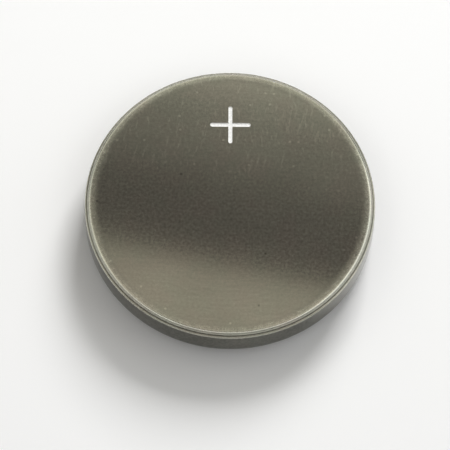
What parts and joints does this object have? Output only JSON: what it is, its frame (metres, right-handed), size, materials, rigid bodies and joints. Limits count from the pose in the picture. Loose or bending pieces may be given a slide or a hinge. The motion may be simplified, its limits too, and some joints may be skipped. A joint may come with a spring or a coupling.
{
  "type": "lithium coin cell",
  "caption": "Round flat lithium coin cell: crimped steel can and cap, gasket, lithium disc, separator and cathode.",
  "frame": {"origin": "centre of the flat negative contact face that the cell rests on", "axes": "+Z out of the positive face, along the cell's axis; +X and +Y lie in the contact faces"},
  "size_m": [0.02, 0.02, 0.0032],
  "materials": {
    "can_steel": "dull rolled stainless steel with fine scratches",
    "cap_steel": "satin rolled stainless steel",
    "gasket_plastic": "natural moulded polypropylene",
    "lithium_metal": "soft dull rolled lithium metal",
    "separator_felt": "white polypropylene felt",
    "pellet_powder": "pressed black powder",
    "ring_steel": "bright pressed stainless steel strip"
  },
  "bodies": {
    "root": {"positive_can": "can_steel", "gasket": "gasket_plastic", "negative_cap": "cap_steel", "lithium_disc": "lithium_metal", "separator": "separator_felt", "cathode_pellet": "pellet_powder", "cathode_ring": "ring_steel"}
  },
  "joints": []
}
